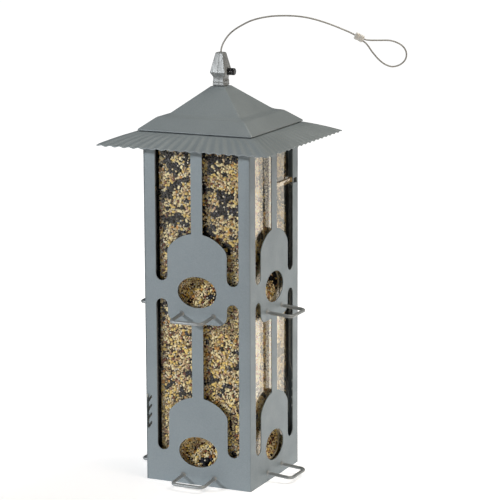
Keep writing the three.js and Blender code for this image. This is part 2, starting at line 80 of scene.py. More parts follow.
def make_camera():
    data = bpy.data.cameras.new("camera")
    data.lens = VIEW_LENS_MM
    data.clip_end = 50
    camera = add("camera", data)
    right = Vector((math.cos(VIEW_YAW), math.sin(VIEW_YAW), 0))
    back = Vector((
        math.sin(VIEW_YAW) * math.cos(VIEW_PITCH),
        -math.cos(VIEW_YAW) * math.cos(VIEW_PITCH),
        math.sin(VIEW_PITCH),
    ))
    camera.location = Vector((0, 0, VIEW_HEIGHT)) + right * VIEW_SIDESTEP + back * VIEW_DISTANCE
    camera.rotation_mode = "QUATERNION"
    roll = Matrix.Rotation(VIEW_ROLL, 3, "Z").to_quaternion()
    camera.rotation_quaternion = (-back).to_track_quat("-Z", "Y") @ roll
    bpy.context.scene.camera = camera


make_camera()
bpy.context.scene.view_settings.view_transform = "Standard"


# ---------------------------------------------------------------- materials
def linear(red, green, blue):
    """A colour given as it looks on a screen, 0 to 255."""
    shares = [value / 255 for value in (red, green, blue)]
    return [s / 12.92 if s <= 0.04045 else ((s + 0.055) / 1.055) ** 2.4 for s in shares]


class Graph:
    """Adds shader nodes to a tree."""

    def __init__(self, tree):
        self.tree = tree

    def feed(self, node, values):
        """Sets a node's inputs. An input whose value is the output of another node is linked to it."""
        for key, value in values.items():
            if isinstance(value, bpy.types.NodeSocket):
                self.tree.links.new(value, node.inputs[key])
            else:
                node.inputs[key].default_value = value
        return node

    def node(self, kind, values=None, **settings):
        """Adds a node. Its settings come first, because some of them change its inputs."""
        made = self.tree.nodes.new(f"ShaderNode{kind}")
        for key, value in settings.items():
            setattr(made, key, value)
        return self.feed(made, values or {})


class Look(Graph):
    """A Principled material and a few ways to give it grain."""

    def __init__(self, name, colour, roughness=0.5, metallic=0.0):
        self.material = bpy.data.materials.new(name)
        self.material.use_nodes = True
        super().__init__(self.material.node_tree)
        self.colour = [*linear(*colour), 1]
        self.shader = self.tree.nodes["Principled BSDF"]
        self.set({"Base Color": self.colour, "Roughness": roughness, "Metallic": metallic})
        self.coordinates = self.node("TexCoord").outputs["Object"]

    def set(self, values):
        self.feed(self.shader, values)

    def noise(self, scale, detail=3.0, stretch=(1, 1, 1)):
        """Cloudy noise, scale in features per metre."""
        at = self.node("Mapping", {"Vector": self.coordinates, "Scale": stretch}).outputs[0]
        return self.node("TexNoise", {"Vector": at, "Scale": scale, "Detail": detail}).outputs["Fac"]

    def cells(self, scale):
        values = {"Vector": self.coordinates, "Scale": scale}
        return self.node("TexVoronoi", values, feature="SMOOTH_F1").outputs["Distance"]

    def spread(self, value, low, high):
        """Stretches the middle of a noise over a range."""
        values = {"Value": value, "From Min": 0.3, "From Max": 0.7, "To Min": low, "To Max": high}
        return self.node("MapRange", values).outputs["Result"]

    def tint(self, value, other, strength=1.0):
        """Blends towards another colour where the value is high."""
        base = self.shader.inputs["Base Color"]
        under = base.links[0].from_socket if base.is_linked else self.colour
        values = {"Factor": self.spread(value, 0.0, strength), "A": under, "B": [*linear(*other), 1]}
        self.set({"Base Color": self.node("Mix", values, data_type="RGBA").outputs["Result"]})

    def rough(self, value, low, high):
        self.set({"Roughness": self.spread(value, low, high)})

    def bump(self, value, depth):
        """Relief of this depth in metres, added to any that is there."""
        values = {"Strength": 1, "Distance": depth, "Height": value}
        normal = self.shader.inputs["Normal"]
        if normal.is_linked:
            values["Normal"] = normal.links[0].from_socket
        self.set({"Normal": self.node("Bump", values).outputs["Normal"]})


def paint(name, colour, shade, roughness, metallic):
    """Satin metallic paint with a fine hammered grain, cloudy in tone."""
    look = Look(name, colour, roughness, metallic)
    look.tint(look.noise(18, 2), shade, 0.5)
    look.tint(look.noise(900, 2), [min(255, c + 16) for c in colour], 0.35)
    look.rough(look.noise(60, 4), roughness - 0.07, roughness + 0.09)
    look.bump(look.cells(620), 0.1 * MM)
    look.bump(look.noise(1800, 2), 0.02 * MM)
    return look.material


def bare_metal(name, colour, roughness, grain, stretch=(1, 1, 1), metallic=0.95):
    """Bare metal with fine drawing marks."""
    look = Look(name, colour, roughness, metallic)
    look.tint(look.noise(40, 3), [int(c * 0.82) for c in colour], 0.6)
    look.rough(look.noise(grain, 3, stretch), roughness - 0.08, roughness + 0.12)
    look.bump(look.noise(grain * 2, 2, stretch), 0.012 * MM)
    return look.material


def clear_wall(name, tone, haze, sheen, slant_sheen=1.0, passing=0.985):
    """Clear plastic sheet: see-through, with its gloss rising at a slant, and a little dust."""
    look = Look(name, tone, 0.35)
    look.bump(look.noise(35, 2), 0.03 * MM)
    polish = look.spread(look.noise(120, 4), 0.03, 0.09)
    gloss = look.node("BsdfGlossy", {"Color": (1, 0.94, 0.83, 1), "Roughness": polish})
    clear = look.node("BsdfTransparent", {"Color": (passing, passing, passing, 1)})
    slant = look.node("LayerWeight", {"Blend": 0.5})
    steep = look.node("Math", {0: slant.outputs["Facing"], 1: 2.7}, operation="POWER")
    mirror = look.node("MapRange", {"Value": steep.outputs[0], "To Min": 0.04 * sheen, "To Max": slant_sheen})
    dust = look.spread(look.noise(90, 5), haze * 0.5, haze * 1.6)
    dusty = look.node("MixShader", {"Fac": dust, 1: clear.outputs[0], 2: look.shader.outputs[0]})
    whole = look.node("MixShader", {"Fac": mirror.outputs["Result"], 1: dusty.outputs[0], 2: gloss.outputs[0]})
    look.feed(look.tree.nodes["Material Output"], {"Surface": whole.outputs[0]})
    return look.material


def plastic(name, colour, roughness):
    """Moulded plastic with a fine grain."""
    look = Look(name, colour, roughness)
    look.tint(look.noise(60, 3), [min(255, c + 14) for c in colour], 0.6)
    look.rough(look.noise(150, 4), roughness * 0.8, roughness * 1.3)
    look.bump(look.noise(700, 3), 0.015 * MM)
    return look.material


body_paint = paint("body_paint", (127, 138, 144), (115, 126, 132), 0.46, 0.15)
roof_paint = paint("roof_paint", (128, 137, 141), (116, 125, 129), 0.46, 0.15)
wire_paint = paint("wire_paint", (142, 147, 149), (124, 130, 133), 0.4, 0.3)


def casting():
    """Painted casting, with faint streaks that run up and down."""
    look = Look("cast_metal", (148, 152, 153), 0.48, 0.25)
    look.tint(look.noise(260, 3, (1, 1, 0.08)), (116, 120, 121), 0.75)
    look.rough(look.noise(90, 3), 0.32, 0.5)
    look.bump(look.noise(420, 3, (1, 1, 0.12)), 0.12 * MM)
    look.bump(look.cells(900), 0.03 * MM)
    return look.material


cast_metal = casting()
aluminium = bare_metal("aluminium", (208, 208, 204), 0.42, 900, (1, 1, 0.2), metallic=0.35)
spring_steel = bare_metal("spring_steel", (186, 186, 180), 0.28, 1500)
cable_steel = bare_metal("cable_steel", (160, 160, 156), 0.55, 2500, metallic=0.5)
black_plastic = plastic("black_plastic", (18, 19, 22), 0.2)
grey_plastic = plastic("grey_plastic", (74, 77, 80), 0.5)
clear_plastic = clear_wall("clear_plastic", (226, 226, 218), 0.003, 0.3)
# The cut-back corners let through only a sliver of light, so they show as a near-black sheet: painted shade.
corner_painted_shade = clear_wall("corner_painted_shade", (120, 116, 104), 0.005, 0.2, 0.03, 0.06)
clear_lug = clear_wall("clear_lug", (206, 174, 110), 0.4, 0.6)
cut_edge = plastic("cut_edge", (136, 130, 112), 0.35)


# ---------------------------------------------------------------- meshes
def into_mesh(shape, mesh):
    """Writes a bmesh into a mesh and lets go of it."""
    shape.to_mesh(mesh)
    shape.free()
    return mesh


def show(name, mesh, materials, sharp=35):
    """Puts a mesh in the scene with smooth shading that breaks at sharp edges."""
    piece = add(name, mesh)
    for material in materials:
        mesh.materials.append(material)
    mesh.polygons.foreach_set("use_smooth", [True] * len(mesh.polygons))
    mesh.set_sharp_from_angle(angle=math.radians(sharp))
    return piece


def place(piece, body, nodes=()):
    """Says which body the piece rides on, and which CAD nodes it stands for."""
    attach(piece, body)
    if nodes:
        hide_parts(*nodes)
    return piece


def ring_mesh(name, rings, is_loop=False):
    """A skin over rings of points; a stack of rings is closed with a cap at each end."""
    count = len(rings[0])
    points = [p for ring in rings for p in ring]
    faces = []
    spans = len(rings) if is_loop else len(rings) - 1
    for r in range(spans):
        here, there = r * count, (r + 1) % len(rings) * count
        for k in range(count):
            n = (k + 1) % count
            faces.append((here + k, here + n, there + n, there + k))
    if not is_loop:
        faces.append(tuple(range(count))[::-1])
        faces.append(tuple(range((len(rings) - 1) * count, len(rings) * count)))
    mesh = bpy.data.meshes.new(name)
    mesh.from_pydata([tuple(p) for p in points], [], faces)
    mesh.validate()
    shape = bmesh.new()
    shape.from_mesh(mesh)
    bmesh.ops.recalc_face_normals(shape, faces=shape.faces)
    return into_mesh(shape, mesh)


def through(points, step):
    """A smooth line through points, with its own points about a step apart."""
    p = np.array(points, float)
    p = np.vstack([2 * p[0] - p[1], p, 2 * p[-1] - p[-2]])
    line = []
    for a, b, c, d in zip(p, p[1:], p[2:], p[3:]):
        count = max(1, round(np.linalg.norm(c - b) / step))
        gaps = [np.linalg.norm(v - u) ** 0.5 + 1e-9 for u, v in ((a, b), (b, c), (c, d))]
        knots = np.cumsum([0] + gaps)
        for t in np.linspace(knots[1], knots[2], count, endpoint=False):
            ab = a + (b - a) * (t - knots[0]) / (knots[1] - knots[0])
            bc = b + (c - b) * (t - knots[1]) / (knots[2] - knots[1])
            cd = c + (d - c) * (t - knots[2]) / (knots[3] - knots[2])
            abc = ab + (bc - ab) * (t - knots[0]) / (knots[2] - knots[0])
            bcd = bc + (cd - bc) * (t - knots[1]) / (knots[3] - knots[1])
            line.append(abc + (bcd - abc) * (t - knots[1]) / (knots[2] - knots[1]))
    line.append(p[-2])
    return np.array(line)


ROPE_LAY = 0.014


def wire_mesh(name, line, radius, sides, strands=0):
    """A round wire along a line, or a rope whose strands wind once in each lay. Its radius may vary by point."""
    line = np.array(line, float)
    radii = np.broadcast_to(radius, len(line))
    ahead = np.gradient(line, axis=0)
    ahead /= np.linalg.norm(ahead, axis=1)[:, None]
    side = np.cross(ahead[0], (0, 1, 0) if abs(ahead[0][1]) < 0.9 else (1, 0, 0))
    travelled = 0.0
    rings = []
    for k, (centre, forward) in enumerate(zip(line, ahead)):
        side = side - forward * (side @ forward)
        side /= np.linalg.norm(side)
        up = np.cross(forward, side)
        if k:
            travelled += float(np.linalg.norm(centre - line[k - 1]))
        turn = 2 * math.pi * travelled / ROPE_LAY if strands else 0.0
        ring = []
        for s in range(sides):
            angle = 2 * math.pi * s / sides
            reach = radii[k]
            if strands:
                reach *= 0.96 + 0.04 * abs(math.cos(strands * angle / 2))
            ring.append(centre + reach * (side * math.cos(angle + turn) + up * math.sin(angle + turn)))
        rings.append(ring)
    return ring_mesh(name, rings)


def rounded_square(half, radius, z, steps=6):
    """Points of a level square with round corners."""
    inner = half - radius
    ring = []
    corners = ((inner, -inner), (inner, inner), (-inner, inner), (-inner, -inner))
    for corner, (x, y) in enumerate(corners):
        for k in range(steps + 1):
            angle = math.radians(90 * (corner - 1) + 90 * k / steps)
            ring.append(Vector((x + radius * math.cos(angle), y + radius * math.sin(angle), z)))
    return ring


def circle(radius, z, count):
    """Points of a circle that start where those of rounded_square start."""
    turn = 2 * math.pi / count
    angles = [-math.pi / 4 + turn * (k - count / 8) for k in range(count)]
    return [Vector((radius * math.cos(a), radius * math.sin(a), z)) for a in angles]


def lathe(name, profile, count):
    """Turns a profile of (radius, height) points round the Z axis."""
    return ring_mesh(name, [circle(max(r, 1e-5), z, count) for r, z in profile])


MEETING = 2e-6  # points closer than this are one point
ON_FOLD = 1e-5  # an edge this close to a fold is on it


def eased(node, width, materials, body, fold=None, name=None):
    """A copy of a CAD node with its edges eased. A fold, this far out at the front right, gets a real bend."""
    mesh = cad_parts[node].data.copy()
    mesh.materials.clear()
    shape = bmesh.new()
    shape.from_mesh(mesh)
    bmesh.ops.remove_doubles(shape, verts=shape.verts, dist=MEETING)
    bmesh.ops.dissolve_limit(shape, angle_limit=math.radians(1), verts=shape.verts, edges=shape.edges)
    if fold:
        for reach, bend in ((fold, 1.4 * MM), (fold - SHEET, 0.5 * MM)):
            edges = [
                e for e in shape.edges
                if all(abs(v.co.x - reach) < ON_FOLD and abs(v.co.y + reach) < ON_FOLD for v in e.verts)
            ]
            bmesh.ops.bevel(shape, geom=edges, offset=bend, segments=5, profile=0.5, affect="EDGES")
    piece = show(name or f"{node}_eased", into_mesh(shape, mesh), materials)
    edge = piece.modifiers.new("eased_edges", "BEVEL")
    edge.width = width
    edge.segments = 2
    edge.limit_method = "ANGLE"
    edge.angle_limit = math.radians(32)
    edge.harden_normals = True
    return place(piece, body, [node])


def helix(centre, radius, wire, low, high, turns):
    """Points of a close coil that winds up a vertical axis."""
    per_turn = 14
    count = int(turns * per_turn)
    return np.array([
        (
            centre[0] + radius * math.cos(2 * math.pi * k / per_turn),
            centre[1] + radius * math.sin(2 * math.pi * k / per_turn),
            low + wire + (high - low - 2 * wire) * k / count,
        )
        for k in range(count + 1)
    ])


# ---------------------------------------------------------------- cable
CABLE_DIAMETER = 0.0019
STRANDS = 6
CABLE_HEADING = math.atan2(0.42, 0.9075)  # the vertical plane in which the cable lies
# Distance from the axis and height: up from the finial, through the ferrule, round the eye and back into it.
CABLE_ROUTE = [
    (0, 0.4825), (0.0005, 0.487), (0.0022, 0.492), (0.0056, 0.498), (0.0106, 0.504), (0.0169, 0.509),
    (0.024, 0.5132), (0.033, 0.5176), (0.0436, 0.5207), (0.0569, 0.5228), (0.0702, 0.5233), (0.0835, 0.5228),
    (0.0968, 0.5209), (0.1101, 0.5174), (0.1234, 0.5128), (0.1367, 0.5074), (0.1425, 0.5049), (0.1486, 0.5019),
    (0.1544, 0.4994), (0.1592, 0.497), (0.162, 0.4961), (0.166, 0.4957), (0.177, 0.4956), (0.1881, 0.4953),
    (0.1965, 0.4926), (0.2029, 0.488), (0.2061, 0.4815), (0.2053, 0.4748), (0.2002, 0.469), (0.1912, 0.4662),
    (0.183, 0.4686), (0.1758, 0.474), (0.1683, 0.4826), (0.164, 0.4888), (0.161, 0.4924), (0.1581, 0.4947),
    (0.1535, 0.4969), (0.1502, 0.4986),
]
FERRULE_ENDS = ((0.149, 0.5014), (0.1581, 0.4966))
FERRULE_HALF_WIDTH = 4.1 * MM
FERRULE_HALF_DEPTH = 1.9 * MM
FERRULE_SQUARENESS = 2.6  # 2 is an ellipse, and more is squarer
# Distance from an end, or from the middle, and the share of the full section there.
FERRULE_END = [(0, 0.86), (0.0004, 0.96), (0.001, 1)]
FERRULE_DENT = [(-0.0009, 1), (-0.0005, 0.93), (0.0005, 0.93), (0.0009, 1)]


def in_cable_plane(away, z):
    return (away * math.cos(CABLE_HEADING), away * math.sin(CABLE_HEADING), z)


def make_ferrule():
    """An oval sleeve, eased at its ends and pinched in the middle."""
    low, high = (Vector(in_cable_plane(*end)) for end in FERRULE_ENDS)
    along = high - low
    length = along.length
    sizes = FERRULE_END + [(length / 2 + at, size) for at, size in FERRULE_DENT]
    sizes += [(length - at, size) for at, size in FERRULE_END[::-1]]
    power = FERRULE_SQUARENESS
    rings = []
    for at, size in sizes:
        ring = []
        for k in range(32):
            c, s = math.cos(2 * math.pi * k / 32), math.sin(2 * math.pi * k / 32)
            reach = size / (abs(c) ** power + abs(s) ** power) ** (1 / power)
            ring.append((at, FERRULE_HALF_DEPTH * reach * c, FERRULE_HALF_WIDTH * reach * s))
        rings.append(ring)
    mesh = ring_mesh("ferrule", rings)
    pitch = -math.atan2(along.z, math.hypot(along.x, along.y))
    turn = Matrix.Rotation(CABLE_HEADING, 4, "Z") @ Matrix.Rotation(pitch, 4, "Y")
    mesh.transform(Matrix.Translation(low) @ turn)
    return place(show("ferrule", mesh, [aluminium]), "roof", ["cable_ferrule"])


def make_cable():
    line = through([in_cable_plane(*point) for point in CABLE_ROUTE], 0.45 * MM)
    mesh = wire_mesh("cable", line, CABLE_DIAMETER / 2, 24, STRANDS)
    cable = show("cable", mesh, [cable_steel])
    place(cable, "roof", ["hanging_cable", "cable_loop"])
    ferrule = make_ferrule()


make_cable()

# ---------------------------------------------------------------- body
SIDES = ("front", "right", "back", "left")
CORNERS = ("front", "back")
LEVELS = ("lower", "upper")
BODY_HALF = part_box("shroud_front_right")[1].x

# The front-right half is bent at its fold. The back-left half's fold has only the eased edge.
for half, fold in (("front_right", BODY_HALF), ("back_left", None)):
    eased(f"shroud_{half}", 0.16 * MM, [body_paint], "shroud", fold, f"sheet_{half}")
for corner in CORNERS:
    for level in LEVELS:
        eased(f"seam_angle_{corner}_{level}", 0.2 * MM, [body_paint], "shroud")

# ---------------------------------------------------------------- perches
PERCH_RADIUS = 2 * MM
PERCH_BEND = 6 * MM
# Swelling of the wire where it is welded on: nearer to the sheet than this, this many times as thick.
PERCH_WELD = ((0.3 * MM, 1.75), (1 * MM, 1.4), (math.inf, 1))


def make_perch(side, turns, level):
    """A wire bent round three sides of a rectangle, with its two legs welded to the sheet."""
    low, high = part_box(f"perch_front_{level}")
    half = high.x - PERCH_RADIUS
    root, reach = high.y, low.y + PERCH_RADIUS
    z_root, z_tip = high.z - PERCH_RADIUS, low.z + PERCH_RADIUS
    corner = half - PERCH_BEND
    plan = [(-half, root + step * MM) for step in (0.2, -0.5, -1.4, -4)]
    plan += [(-half, y) for y in np.linspace(root - 8 * MM, reach + PERCH_BEND, 4)]
    bend = [math.radians(a) for a in np.linspace(0, 90, 9)[1:]]
    plan += [(-corner - PERCH_BEND * math.cos(a), reach + PERCH_BEND * (1 - math.sin(a))) for a in bend]
    plan += [(x, reach) for x in np.linspace(-corner, 0, 4)[1:]]
    plan += [(-x, y) for x, y in plan[-2::-1]]
    slope = (z_tip - z_root) / (reach - root)
    line = [(x, y, z_root + slope * (y - root)) for x, y in plan]
    radii = [PERCH_RADIUS * next(swell for near, swell in PERCH_WELD if abs(y - root) < near) for _, y in plan]
    name = f"wire_{side}_{level}"
    mesh = wire_mesh(name, line, radii, 16)
    mesh.transform(Matrix.Rotation(turns * math.pi / 2, 4, "Z"))
    place(show(name, mesh, [wire_paint], 60), "shroud", [f"perch_{side}_{level}"])


for level in LEVELS:
    for turns, side in enumerate(SIDES):
        make_perch(side, turns, level)

# ---------------------------------------------------------------- roof
PLATE_HALF = 69 * MM
PLATE_TOP = 400 * MM
EAVE_DROP = 12.6 * MM
RIBS = 18  # on each side
RIB_HEIGHT = 0.675 * MM
STEM_HOLE = 4.3 * MM


def pushed_out(ring, radius, z):
    """A circle with its points on the same bearings as those of a ring."""
    return [Vector((p.x, p.y, 0)).normalized() * radius + Vector((0, 0, z)) for p in ring]


def make_skirt():
    """A flat sheet whose eaves slope down, with ribs that fan out from the middle and deepen to the edge."""
    eave_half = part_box("roof_skirt")[1].x
    per_side = RIBS * 10

    def ring(half, z, wave):
        points = []
        for side in range(4):
            for k in range(per_side):
                s = -1 + 2 * k / per_side
                fade = min(1.0, (1 - abs(s)) * RIBS)
                rise = -wave * fade * math.cos(math.pi * RIBS * (s + 1))
                point = Vector((s * half, -half, z + rise))
                points.append(Matrix.Rotation(side * math.pi / 2, 3, "Z") @ point)
        return points

    top = [pushed_out(ring(1, 0, 0), STEM_HOLE, PLATE_TOP)]
    top += [ring(PLATE_HALF * share, PLATE_TOP, 0) for share in (0.5, 0.93)]
    for share in (0, 0.06, 0.14, 0.26, 0.4, 0.55, 0.7, 0.85, 0.95, 1):
        half = PLATE_HALF + (eave_half - PLATE_HALF) * share
        drop = EAVE_DROP * (0.75 * share + 0.25 * share**2)
        deep = RIB_HEIGHT * min(1.0, share / 0.3) * (0.6 + 0.4 * share)
        top.append(ring(half, PLATE_TOP - drop, deep))
    under = [[p - Vector((0, 0, SHEET)) for p in r] for r in reversed(top)]
    mesh = ring_mesh("roof_ribbed_skirt", top + under, True)
    place(show("roof_ribbed_skirt", mesh, [roof_paint], 50), "roof", ["roof_skirt"])


make_skirt()

# Half width and height of the cap's outer face, from the finial down to the rolled rim.
CAP_PROFILE = [
    (8, 445.7), (9.2, 445.4), (41.6, 418.93), (42.8, 418.05), (44.2, 417.25), (45.8, 416.6), (47.8, 416.05),
    (52, 415.15), (53.4, 414.7), (54.8, 413.85), (56.5, 412.6), (68.8, 402.95), (69.4, 402.35), (69.75, 401.75),
    (69.8, 401.3), (69.6, 400.9), (69.2, 400.75), (68.8, 400.95), (68.6, 401.4),
]
CAP_DEPTH = 1.0 * MM


def make_cap():
    outer = [(half * MM, z * MM) for half, z in CAP_PROFILE]
    inner = [(half - 0.8 * MM, z - CAP_DEPTH) for half, z in outer[1:12]][::-1]
    rings = [rounded_square(half, 1.7 * MM, z) for half, z in outer + inner]
    top = outer[0][1]
    rings += [circle(STEM_HOLE, z, len(rings[0])) for z in (top - CAP_DEPTH - 0.2 * MM, top)]
    piece = show("roof_pyramid", ring_mesh("roof_pyramid", rings, True), [roof_paint], 22)
    place(piece, "roof", ["roof_cap"])


make_cap()

# Half width and rise of the finial above its foot: two beads, a waist, a flare and a long taper.
FINIAL_PROFILE = [
    (6.9, 0), (7.15, 0.25), (7.3, 0.9), (7.28, 1.7), (7.15, 2.3), (6.98, 2.7), (6.98, 3.1), (7.1, 3.6), (7.2, 4.3),
    (7.18, 5.1), (6.95, 5.7), (6.75, 6.4), (6.7, 8), (6.9, 9.4), (7.4, 10.7), (8.3, 12.3), (9.05, 13.5),
    (9.42, 14.3), (9.5, 14.9), (9.42, 15.5), (9.2, 16.3), (4.95, 35.4), (4.75, 36.2), (4.3, 36.7), (3.6, 36.9),
]
# Points on a flat between two rounded corners, across and out: the ridge is a parting line.
FINIAL_PARTING = ((-0.4, 0), (-0.26, 0), (0, 0.12), (0.26, 0), (0.4, 0))
CABLE_BORE = 1.55 * MM
BUTTON_BORE = 4.3 * MM


def make_finial():
    """A casting with a parting line up its front and its back, bored for the stem, the cable and the button."""
    low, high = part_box("finial")
    stem_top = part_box("roof_stem")[1].z + 0.3 * MM
    rings = []
    for half, rise in FINIAL_PROFILE:
        half *= MM
        ring = rounded_square(half, 1.1 * MM, low.z + rise * MM, 5)
        widened = []
        for k, point in enumerate(ring):
            widened.append(point)
            following = ring[(k + 1) % len(ring)]
            if (following - point).length > half:
                along = (following - point).normalized()
                outward = Vector((along.y, -along.x, 0))
                middle = point.lerp(following, 0.5)
                is_parted = abs(along.x) > 0.5
                widened.append(point + along * 0.15 * MM)
                for across, ridge in FINIAL_PARTING:
                    widened.append(middle + along * across * MM + outward * ridge * is_parted * MM)
                widened.append(following - along * 0.15 * MM)
        rings.append(widened)
    bore = [(CABLE_BORE, high.z), (CABLE_BORE, stem_top), (STEM_HOLE, stem_top), (STEM_HOLE, low.z)]
    rings += [pushed_out(rings[0], radius, z) for radius, z in bore]
    piece = show("finial_cast", ring_mesh("finial_cast", rings, True), [cast_metal], 38)
    seat_low, seat_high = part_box("button_spring")
    drill = lathe("drill", [(BUTTON_BORE, seat_low.x - 0.3 * MM), (BUTTON_BORE, 20 * MM)], 40)
    carve(piece, laid_along_x(drill, (seat_low.z + seat_high.z) / 2))
    place(piece, "roof", ["finial"])


def laid_along_x(mesh, z):
    """Turns a mesh from the Z axis to the X direction, at this height."""
    mesh.transform(Matrix.Translation((0, 0, z)) @ Matrix.Rotation(math.pi / 2, 4, "Y"))
    return mesh


def carve(piece, tool_mesh):
    """Cuts a shape out of a piece for good."""
    tool = add("tool", tool_mesh)
    cut = piece.modifiers.new("cut", "BOOLEAN")
    cut.operation = "DIFFERENCE"
    cut.solver = "EXACT"
    cut.object = tool
    bpy.context.view_layer.update()
    result = bpy.data.meshes.new_from_object(piece.evaluated_get(bpy.context.evaluated_depsgraph_get()))
    piece.modifiers.remove(cut)
    piece.data = result
    bpy.data.objects.remove(tool)


make_finial()


# Length along X, width and height of the slot, and the middle of its length.
BUTTON_SLOT = (6.05 * MM, 2.5 * MM, 18 * MM)
BUTTON_SLOT_X = 1.775 * MM
BUTTON_BEND = 1.3 * MM
BUTTON_GROOVE = 0.35 * MM


def make_button():
    """The lock's button, with a groove near its tip, and the slot that the cable passes through."""
    low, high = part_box("lock_button")
    centre_z = (low.z + high.z) / 2
    radius = (high.z - low.z) / 2
    tip = high.x
    profile = [(0, low.x), (radius - 0.3 * MM, low.x), (radius, low.x + 0.3 * MM)]
    for back, sunk in ((4.6, 0), (4.3, BUTTON_GROOVE), (3.9, BUTTON_GROOVE), (3.6, 0)):
        profile.append((radius - sunk, tip - back * MM))
    for angle in range(0, 91, 15):
        a = math.radians(angle)
        profile.append((radius - BUTTON_BEND * (1 - math.cos(a)), tip - BUTTON_BEND * (1 - math.sin(a))))
    profile += [(1.2 * MM, tip - 0.02 * MM), (0, tip - 0.12 * MM)]
    piece = show("button", laid_along_x(lathe("button", profile, 48), centre_z), [black_plastic])
    slot = bmesh.new()
    where = Matrix.Translation((BUTTON_SLOT_X, 0, centre_z)) @ Matrix.Diagonal((*BUTTON_SLOT, 1))
    bmesh.ops.create_cube(slot, size=1, matrix=where)
    carve(piece, into_mesh(slot, bpy.data.meshes.new("slot")))
    place(piece, "button", ["lock_button"])


make_button()


def make_button_spring():
    low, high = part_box("button_spring")
    centre_z = (low.z + high.z) / 2
    wire = 0.3 * MM
    mesh = wire_mesh("lock_spring", helix((0, 0), 2.5 * MM, wire, low.x, high.x, 3.5), wire, 8)
    piece = show("lock_spring", laid_along_x(mesh, centre_z), [spring_steel], 60)
    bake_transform(piece)
    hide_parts("button_spring")


make_button_spring()


def make_inner_rope():
    low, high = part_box("inner_cable")
    line = [(0, 0, z) for z in np.arange(low.z, high.z, 0.75 * MM)]
    mesh = wire_mesh("inner_rope", line, CABLE_DIAMETER / 2, 12, STRANDS)
    place(show("inner_rope", mesh, [cable_steel]), "roof", ["inner_cable"])


make_inner_rope()
eased("roof_stem", 0.2 * MM, [aluminium], "roof")
eased("roof_nut", 0.3 * MM, [spring_steel], "roof")


# ---------------------------------------------------------------- clear hopper
PORT_OPENING_HALF = 27 * MM
WALL_NEAR = 56 * MM  # anything farther out is part of a wall


def make_hopper():
    """The clear walls. The edges of their openings and rims look cut, and the cut-back corners pass almost no
    light: a near-black sheet as painted shade.
    """
    materials = [clear_plastic, cut_edge, corner_painted_shade]
    piece = eased("hopper_tube", 0.3 * MM, materials, "hopper", name="hopper_wall")
    for face in piece.data.polygons:
        across, outward, up = face.normal
        if across * outward > 0.3:
            face.material_index = materials.index(corner_painted_shade)
            continue
        x, y, _ = face.center
        is_front = abs(y) > WALL_NEAR and abs(x) < PORT_OPENING_HALF and abs(outward) < 0.5
        is_side = abs(x) > WALL_NEAR and abs(y) < PORT_OPENING_HALF and abs(across) < 0.5
        if abs(up) > 0.9 or is_front or is_side:
            face.material_index = materials.index(cut_edge)


make_hopper()
eased("hopper_base", 0.4 * MM, [grey_plastic], "hopper")
for node, width in (("cable_anchor", 0.4 * MM), ("cable_guide_tube", 0.2 * MM), ("cable_crossbar", 0.3 * MM)):
    eased(node, width, [aluminium], "hopper")
for level in LEVELS:
    for side in SIDES:
        eased(f"port_baffle_{side}_{level}", 0.2 * MM, [clear_plastic], "hopper")
for corner in CORNERS:
    eased(f"spring_lug_{corner}", 0.3 * MM, [clear_lug], "hopper")


# ---------------------------------------------------------------- seed
def grain_material(name, colour):
    """A seed's own colour, with a finely wrinkled skin."""
    is_hull = "hull" in name
    look = Look(f"seed_{name}", colour, 0.5 if is_hull else 0.6)
    look.bump(look.noise(1500, 3), 0.08 * MM)
    look.set({"Specular IOR Level": 0.2 if is_hull else 0.45})
    return look.material


SEED_COLOURS = {
    "millet_cream": (250, 234, 190), "millet_straw": (242, 224, 170), "millet_gold": (208, 176, 104),
    "millet_white": (252, 246, 228), "millet_tan": (188, 157, 114), "milo_red": (130, 78, 54),
    "milo_brown": (70, 44, 32), "milo_rose": (192, 154, 128), "corn_yellow": (240, 212, 128),
    "corn_orange": (208, 156, 84), "corn_pale": (248, 234, 184), "hull_black": (8, 8, 11),
    "hull_grey": (20, 22, 29), "hull_stripe": (74, 76, 88), "wheat": (232, 208, 166),
}
SEED_SLOTS = list(SEED_COLOURS)
seed_materials = [grain_material(name, colour) for name, colour in SEED_COLOURS.items()]


def round_grain(jitter, rng):
    """An icosahedron, pushed about a little."""
    shape = bmesh.new()
    bmesh.ops.create_icosphere(shape, subdivisions=1, radius=1)
    points = np.array([v.co for v in shape.verts])
    faces = np.array([[v.index for v in f.verts] for f in shape.faces])
    shape.free()
    return points * (1 + jitter * rng.uniform(-1, 1, (len(points), 1))), faces


def long_grain(blunt, rings=5, sides=7):
    """A seed pointed at one end, with its length along X."""
    points, faces = [(-1, 0, 0)], []
    angles = [2 * math.pi * s / sides for s in range(sides)]
    for r in range(1, rings + 1):
        t = r / (rings + 1)
        width = math.sin(math.pi * t**blunt) ** 0.8
        points += [(-1 + 2 * t, width * math.cos(a), width * math.sin(a)) for a in angles]
    points.append((1, 0, 0))
    last = len(points) - 1
    for s in range(sides):
        n = (s + 1) % sides
        faces.append((0, 1 + n, 1 + s))
        faces.append((last, last - sides + s, last - sides + n))
        for r in range(rings - 1):
            a, b = 1 + r * sides, 1 + (r + 1) * sides
            faces.append((a + s, a + n, b + n))
            faces.append((a + s, b + n, b + s))
    return np.array(points), np.array(faces)


grain_rng = np.random.default_rng(7)
